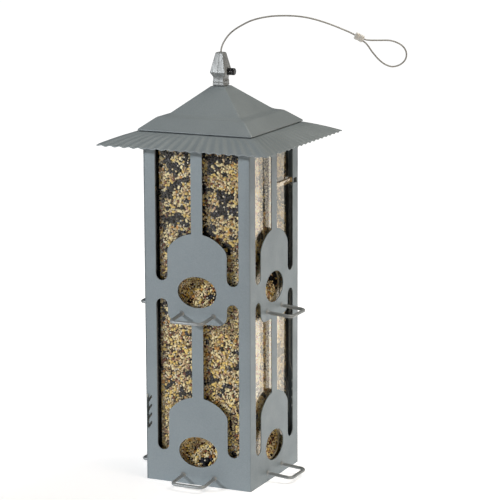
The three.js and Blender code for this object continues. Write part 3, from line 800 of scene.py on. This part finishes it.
# Shape, half sizes and the radius kept free in mm, share of the mix, and colours with their weights.
GRAINS = {
    "sunflower": {
        "shape": long_grain(0.8), "size": (4.9, 2.3, 1.5), "share": 0.9, "radius": 1.95,
        "colours": {"hull_black": 6, "hull_grey": 4},
    },
    "corn": {
        "shape": round_grain(0.28, grain_rng), "size": (2.1, 1.6, 1.3), "share": 0.34, "radius": 1.6,
        "colours": {"corn_yellow": 4, "corn_orange": 1, "corn_pale": 4},
    },
    "milo": {
        "shape": round_grain(0.08, grain_rng), "size": (1.7, 1.55, 1.35), "share": 0.18, "radius": 1.5,
        "colours": {"milo_red": 3, "milo_brown": 3, "milo_rose": 3},
    },
    "wheat": {
        "shape": long_grain(1.0, 4, 6), "size": (2.9, 1.3, 1.2), "share": 0.26, "radius": 1.5,
        "colours": {"wheat": 3, "millet_tan": 2},
    },
    "millet": {
        "shape": round_grain(0.05, grain_rng), "size": (1.18, 1.08, 1.0), "share": 2.3, "radius": 1.08,
        "colours": {
            "millet_cream": 9, "millet_straw": 3.5, "millet_gold": 1.5, "millet_white": 4.5, "millet_tan": 3.5,
        },
    },
}

PORT_HEIGHTS = [
    sum(corner.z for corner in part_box(f"port_baffle_front_{level}")) / 2 - 13.1 * MM
    for level in LEVELS
]
WALL_INSIDE = 57.4 * MM
CORNER_INSIDE = 2 * WALL_INSIDE - 8 * MM  # x and y added, at the corners that are cut back
SEED_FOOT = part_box("seed_fill")[0].z
SEED_SPLIT = 0.19  # height where a side's upper grains begin
PORT_SPAN = 25.5 * MM
PORT_CHEEK = 11 * MM  # how far in from each side the seed heaps up
# Surface of the seed behind a port: height from the port's centre, and depth from the wall.
PORT_SLOPE = np.array([
    (-18.5, 0), (-17, 1.4), (3.4, 12.0), (7.0, 12.0), (20.8, 2.0), (22.4, 0),
]) * MM


def depth_at(across, z, has_ports):
    """Depth of the seed's surface behind the wall, and its slope."""
    if has_ports and abs(across) < PORT_SPAN:
        for centre in PORT_HEIGHTS:
            rise = z - centre
            if PORT_SLOPE[0, 0] < rise < PORT_SLOPE[-1, 0]:
                k = int(np.searchsorted(PORT_SLOPE[:, 0], rise)) - 1
                (z0, d0), (z1, d1) = PORT_SLOPE[k], PORT_SLOPE[k + 1]
                slope = (d1 - d0) / (z1 - z0)
                heaped = min(1.0, (PORT_SPAN - abs(across)) / PORT_CHEEK)
                return heaped * (d0 + slope * (rise - z0)), heaped * slope
    return 0.0, 0.0


def hull_share(across, z, seed):
    """Above zero where the black seeds lie in clumps: more from 0.2 to 0.3 m up, and most from 0.366 m, where the
    black seeds are painted shade under the eave.
    """
    coarse = noise.noise(Vector((across * 52, z * 62, seed)))
    fine = noise.noise(Vector((across * 150, z * 170, seed + 9)))
    gathered = min(1.0, max(0.0, (z - 0.2) / 0.1))
    # Black seeds packed into the top of each wall: painted shade under the eave.
    painted_eave_shade = min(1.0, max(0.0, (z - 0.366) / 0.008))
    return coarse + 0.6 * fine - 0.48 + 0.27 * gathered + 0.5 * painted_eave_shade


Grain = namedtuple("Grain", "kind at size lean wall")
NESTLING = 0.9  # grains may lie this share of their two radii apart
BEDDING = 0.92  # share of its radius that a grain's middle keeps from the wall


class SeedBed:
    """Grains that lie against the hopper's walls without running into each other."""

    CELL = 3.4 * MM

    def __init__(self, seed):
        self.rng = np.random.default_rng(seed)
        self.cells = {}
        self.grains = []

    def is_free(self, at, radius):
        cx, cy, cz = (int(v // self.CELL) for v in at)
        for x in (cx - 1, cx, cx + 1):
            for y in (cy - 1, cy, cy + 1):
                for z in (cz - 1, cz, cz + 1):
                    for px, py, pz, pr in self.cells.get((x, y, z), ()):
                        near = NESTLING * (radius + pr)
                        if (at[0] - px) ** 2 + (at[1] - py) ** 2 + (at[2] - pz) ** 2 < near * near:
                            return False
        return True

    def pour(self, wall, layer):
        """Drops one layer of grains along a wall, the largest kinds first."""
        low, high = wall["low"], wall["high"]
        area = (high[0] - low[0]) * (high[1] - low[1]) * wall["more"]
        for kind, grain in GRAINS.items():
            radius = grain["radius"] * MM
            loyal = 0.99 if kind == "sunflower" else 0.88  # share that stays out of the other seeds' clumps
            tries = int(grain["share"] * (1.0 if layer == 0 else 0.6) * area / (math.pi * radius**2))
            spots = self.rng.uniform((low[0], low[1], 0, 0), (high[0], high[1], 1, 1), (tries, 4))
            for across, z, chance, deep in spots.tolist():
                hulls = hull_share(across, z, wall["seed"])
                if (kind == "sunflower") != (hulls > 0) and chance < loyal:
                    continue
                depth, slope = depth_at(across, z, wall["has_ports"])
                size = 0.86 + 0.28 * chance
                inward = depth + radius * size * math.sqrt(1 + slope * slope) * BEDDING
                inward += layer * (1.9 + 1.3 * deep) * MM
                at = wall["origin"] + wall["across"] * across + wall["up"] * z + wall["inward"] * inward
                if wall["keep"](at) and self.is_free(at, radius * size):
                    key = tuple(int(v // self.CELL) for v in at)
                    self.cells.setdefault(key, []).append((*at, radius * size))
                    self.grains.append(Grain(kind, at, size, math.atan(slope), wall))

    def meshes(self, name_of):
        """One mesh for each name that name_of gives the grains."""
        groups = {}
        for grain in self.grains:
            groups.setdefault((name_of(grain), grain.kind), []).append(grain)
        parts = {}
        for (name, kind), grains in sorted(groups.items(), key=lambda item: item[0]):
            parts.setdefault(name, []).append(self.grow(kind, grains))
        for name, found in parts.items():
            points, faces, slots = zip(*found)
            starts = np.cumsum([0] + [len(p) for p in points])
            faces = [f + start for f, start in zip(faces, starts)]
            yield name, triangle_mesh(name, np.vstack(points), np.vstack(faces), np.concatenate(slots))

    def grow(self, kind, grains):
        """Points, triangles and material slots of grains of one kind."""
        mix = GRAINS[kind]
        shape, faces = mix["shape"]
        count = len(grains)
        rng = self.rng
        half = np.array(mix["size"]) * MM * np.array([grain.size for grain in grains])[:, None]
        half *= rng.uniform(0.88, 1.12, (count, 3))
        spin, tip = rng.uniform(0, 2 * math.pi, count), rng.uniform(-0.35, 0.35, count)
        turns = np.empty((count, 3, 3))
        for k, grain in enumerate(grains):
            basis = np.array([grain.wall[way] for way in ("across", "up", "inward")]).T
            lean = np.array(Matrix.Rotation(grain.lean, 3, "X"))
            turns[k] = basis @ lean @ np.array(
                Matrix.Rotation(spin[k], 3, "Z") @ Matrix.Rotation(tip[k], 3, "Y")
            )
        grown = np.einsum("kij,knj->kni", turns, shape[None] * half[:, None])
        grown += np.array([grain.at for grain in grains])[:, None]
        # Nothing pokes through the walls, the cut-back corners or the foot.
        grown[..., :2] = np.clip(grown[..., :2], -WALL_INSIDE, WALL_INSIDE)
        slant = grown[..., 0] + grown[..., 1]
        grown[..., :2] -= (np.sign(slant) * np.maximum(0, np.abs(slant) - CORNER_INSIDE) / 2)[..., None]
        grown[..., 2] = np.maximum(grown[..., 2], SEED_FOOT)
        weights = np.array(list(mix["colours"].values()), float)
        choice = rng.choice(len(weights), count, p=weights / weights.sum())
        slots = np.repeat(np.array([SEED_SLOTS.index(c) for c in mix["colours"]])[choice], len(faces))
        if kind == "sunflower":
            is_striped = np.repeat(rng.random(count) < 0.5, len(faces))
            is_striped &= np.tile(np.arange(len(faces)) % 14 < 2, count)
            slots[is_striped] = SEED_SLOTS.index("hull_stripe")
        shift = (np.arange(count) * len(shape))[:, None, None]
        return grown.reshape(-1, 3), (faces[None] + shift).reshape(-1, 3), slots


def triangle_mesh(name, points, triangles, slots):
    mesh = bpy.data.meshes.new(name)
    mesh.vertices.add(len(points))
    mesh.vertices.foreach_set("co", points.astype(np.float32).ravel())
    mesh.loops.add(len(triangles) * 3)
    mesh.loops.foreach_set("vertex_index", triangles.astype(np.int32).ravel())
    mesh.polygons.add(len(triangles))
    mesh.polygons.foreach_set("loop_start", np.arange(len(triangles), dtype=np.int32) * 3)
    mesh.polygons.foreach_set("material_index", slots.astype(np.int32))
    mesh.update(calc_edges=True)
    return mesh


def upright_wall(name, angle, away, low, high, **more):
    """A wall to pour grains against, this far in front of the axis before it turns round it by an angle."""
    turn = np.array(Matrix.Rotation(angle, 3, "Z"))
    return {
        "name": name, "origin": turn @ np.array((0, -away, 0)), "across": turn @ np.array((1.0, 0, 0)),
        "up": np.array((0, 0, 1.0)), "inward": turn @ np.array((0, 1.0, 0)),
        "low": low, "high": high, "keep": lambda at: True, **more,
    }


def make_seed():
    low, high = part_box("seed_fill")
    half, top = high.x, high.z
    foot, brim = low.z + 1 * MM, top - 1 * MM
    corner, chamfer = 4.5 * MM, 8 * MM
    bed = SeedBed(11)

    walls = []
    for turns, side in enumerate(SIDES):
        # The front wall's left end and the back wall's are cut back; so are the far ends of the walls they meet.
        ends = (-half + chamfer, half - corner) if turns % 2 == 0 else (-half + corner, half - chamfer)
        walls.append(upright_wall(
            side, turns * math.pi / 2, half, (ends[0], foot), (ends[1], brim),
            has_ports=True, seed=3.7 * turns, more=1.15,
        ))
    for wall in walls[:4]:
        for centre in PORT_HEIGHTS:
            walls.append({
                **wall, "low": (-PORT_SPAN, centre - 18 * MM), "high": (PORT_SPAN, centre + 22 * MM), "more": 2.2,
            })
    slant = half * math.sqrt(2) - chamfer / math.sqrt(2)
    for turns, side in ((0, "slant_front"), (2, "slant_back")):
        reach = chamfer * 0.68
        walls.append(upright_wall(
            side, turns * math.pi / 2 - math.pi / 4, slant, (-reach, foot), (reach, brim),
            has_ports=False, seed=20.0 + turns, more=1.0,
        ))

    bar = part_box("cable_crossbar")[1].y + 2 * MM
    corner_reach = 2 * half - chamfer + 0.5 * MM

    def is_open(at):
        """Inside the walls, and clear of the cable's tube and of the strap's ends."""
        x, y, _ = at
        is_inside = max(abs(x), abs(y)) < half and abs(x + y) < corner_reach
        return is_inside and math.hypot(x, y) > 7 * MM and not (abs(y) < bar and abs(x) > half - 5 * MM)

    plan_half = half - 0.9 * MM
    walls.append({
        "name": "top", "origin": np.array((0, 0, top)), "across": np.array((1.0, 0, 0)),
        "up": np.array((0, 1.0, 0)), "inward": np.array((0, 0, -1.0)),
        "low": (-plan_half, -plan_half), "high": (plan_half, plan_half),
        "has_ports": False, "seed": 40.0, "more": 1.0, "keep": is_open,
    })
    for layer in (0, 1):
        for wall in walls:
            bed.pour(wall, layer)

    def name_of(grain):
        """The two levels of a side's grains are pieces of their own."""
        name = grain.wall["name"]
        if name not in SIDES:
            return f"seed_{name}"
        return f"seed_{name}_low" if grain.at[2] < SEED_SPLIT else f"seed_{name}_high"

    for k, (name, mesh) in enumerate(bed.meshes(name_of)):
        place(show(name, mesh, seed_materials, 50), "hopper", () if k else ["seed_fill"])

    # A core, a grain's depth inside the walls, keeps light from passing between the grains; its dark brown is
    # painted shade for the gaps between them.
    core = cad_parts["seed_fill"].data.copy()
    core.materials.clear()
    for vertex in core.vertices:
        x, y, z = vertex.co
        if max(abs(x), abs(y)) > 20 * MM:
            vertex.co.x, vertex.co.y = x * 0.925, y * 0.925
        if z > brim:
            vertex.co.z = z - 4 * MM
    look = Look("seed_core_painted_shade", (22, 16, 12), 0.85)
    look.tint(look.noise(700, 4), (48, 35, 22), 0.8)
    look.bump(look.cells(420), 0.6 * MM)
    place(show("seed_core_painted_shade", core, [look.material]), "hopper")


make_seed()


# ---------------------------------------------------------------- springs and hooks
COIL_WIRE = 0.45 * MM
COIL_RADIUS = 2.1 * MM
COIL_TURNS = 118


def make_weight_spring(corner, half_turn):
    """A close coil with an eye at each end, between the lug on the hopper and the hook in the body."""
    low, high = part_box("weight_spring_front")
    x, y = (low.x + high.x) / 2, (low.y + high.y) / 2
    coil = helix((x, y), COIL_RADIUS, COIL_WIRE, low.z + 5 * MM, high.z - 6 * MM, COIL_TURNS)

    def eye(z, rise, angles):
        return [(x + COIL_RADIUS * math.cos(a), y, z + rise * COIL_RADIUS * math.sin(a)) for a in angles]

    foot_eye = eye(low.z + 2.9 * MM, -1, np.linspace(math.pi, 0, 8))
    head_eye = eye(high.z - 3 * MM, 1, np.linspace(0, math.pi, 8))
    mesh = wire_mesh(f"spring_{corner}", np.vstack([foot_eye, coil, head_eye]), COIL_WIRE, 7)
    mesh.transform(Matrix.Rotation(half_turn * math.pi, 4, "Z"))
    piece = show(f"spring_{corner}", mesh, [spring_steel], 60)
    flip = -1 if half_turn else 1
    start, end = ((x * flip, y * flip, z) for z in (low.z, high.z))
    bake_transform(piece)
    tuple(start)
    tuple(end)
    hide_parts(f"weight_spring_{corner}")


for half_turn, corner in enumerate(CORNERS):
    make_weight_spring(corner, half_turn)
    eased(f"weight_hook_{corner}", 0.1 * MM, [spring_steel], f"hook_{corner}")


# ---------------------------------------------------------------- studio
LAMP_AIM = Vector((0, 0, 0.24))


def area_light(name, azimuth, elevation, distance, size, power, colour):
    """A soft lamp, placed round the feeder as the camera is: azimuth 0 is in front, and positive to the right."""
    data = bpy.data.lights.new(name, "AREA")
    data.shape = "RECTANGLE"
    data.size, data.size_y = size
    data.energy = power
    data.color = colour
    lamp = add(name, data)
    a, e = math.radians(azimuth), math.radians(elevation)
    back = Vector((math.sin(a) * math.cos(e), -math.cos(a) * math.cos(e), math.sin(e)))
    lamp.location = LAMP_AIM + back * distance
    lamp.rotation_mode = "QUATERNION"
    lamp.rotation_quaternion = back.to_track_quat("Z", "Y")


area_light("key", -36, 16, 2.6, (0.3, 0.1), 39, (0.98, 0.985, 1.0))
area_light("right_fill", 66, 8, 2.2, (0.9, 0.7), 6, (1.0, 0.66, 0.34))
area_light("overhead", 100, 62, 1.9, (1.4, 1.4), 30, (1.0, 0.95, 0.87))


def make_world():
    """An even white room, brighter to the right and dimmer overhead."""
    world = bpy.data.worlds.new("studio")
    bpy.context.scene.world = world
    world.use_nodes = True
    graph = Graph(world.node_tree)
    way = graph.node("TexCoord").outputs["Generated"]
    dot = graph.node("VectorMath", {0: way, 1: (0.86, 0.30, -0.42)}, operation="DOT_PRODUCT")
    values = {"Value": dot.outputs["Value"], "From Min": -1, "To Min": 0.04, "To Max": 0.13}
    glow = graph.node("MapRange", values).outputs["Result"]
    room = graph.feed(graph.tree.nodes["Background"], {"Color": (1, 1, 1, 1), "Strength": glow})
    # What the camera sees of the room is even and bright.
    is_seen = graph.node("LightPath").outputs["Is Camera Ray"]
    mix = graph.node("MixShader", {"Fac": is_seen, 1: room.outputs[0], 2: graph.node("Background").outputs[0]})
    graph.feed(graph.tree.nodes["World Output"], {"Surface": mix.outputs[0]})


make_world()


def make_floor():
    """A pale sweep that glows softly behind the feeder, so that it runs into the white of the room."""
    shape = bmesh.new()
    bmesh.ops.create_grid(shape, x_segments=8, y_segments=8, size=12)
    look = Look("floor", (240, 240, 240), 0.7)
    look.tint(look.noise(1.5, 2), (234, 234, 236), 0.6)
    look.rough(look.noise(4, 3), 0.6, 0.8)
    look.bump(look.noise(60, 3), 0.05 * MM)

    def ramp(direction, start, end, low, high):
        dot = look.node("VectorMath", {0: look.coordinates, 1: direction}, operation="DOT_PRODUCT")
        along = dot.outputs["Value"]
        values = {"Value": along, "From Min": start, "From Max": end, "To Min": low, "To Max": high}
        return look.node("MapRange", values, interpolation_type="SMOOTHSTEP").outputs["Result"]

    behind = Vector((-math.sin(VIEW_YAW), math.cos(VIEW_YAW), 0))
    rightward = Vector((math.cos(VIEW_YAW), math.sin(VIEW_YAW), 0))
    glow = ramp(behind, -0.47, 0.32, 0.05, 0.97)
    for ramped in (
        ramp(rightward + behind * 0.2, -0.6, -0.38, 0.1, 1.0),
        ramp(rightward - behind * 0.25, 0.45, 0.7, 1.0, 0.9),
    ):
        glow = look.node("Math", {0: glow, 1: ramped}, operation="MULTIPLY").outputs[0]
    look.set({"Emission Color": (1, 1, 1, 1), "Emission Strength": glow})
    show("floor", into_mesh(shape, bpy.data.meshes.new("floor")), [look.material])


make_floor()
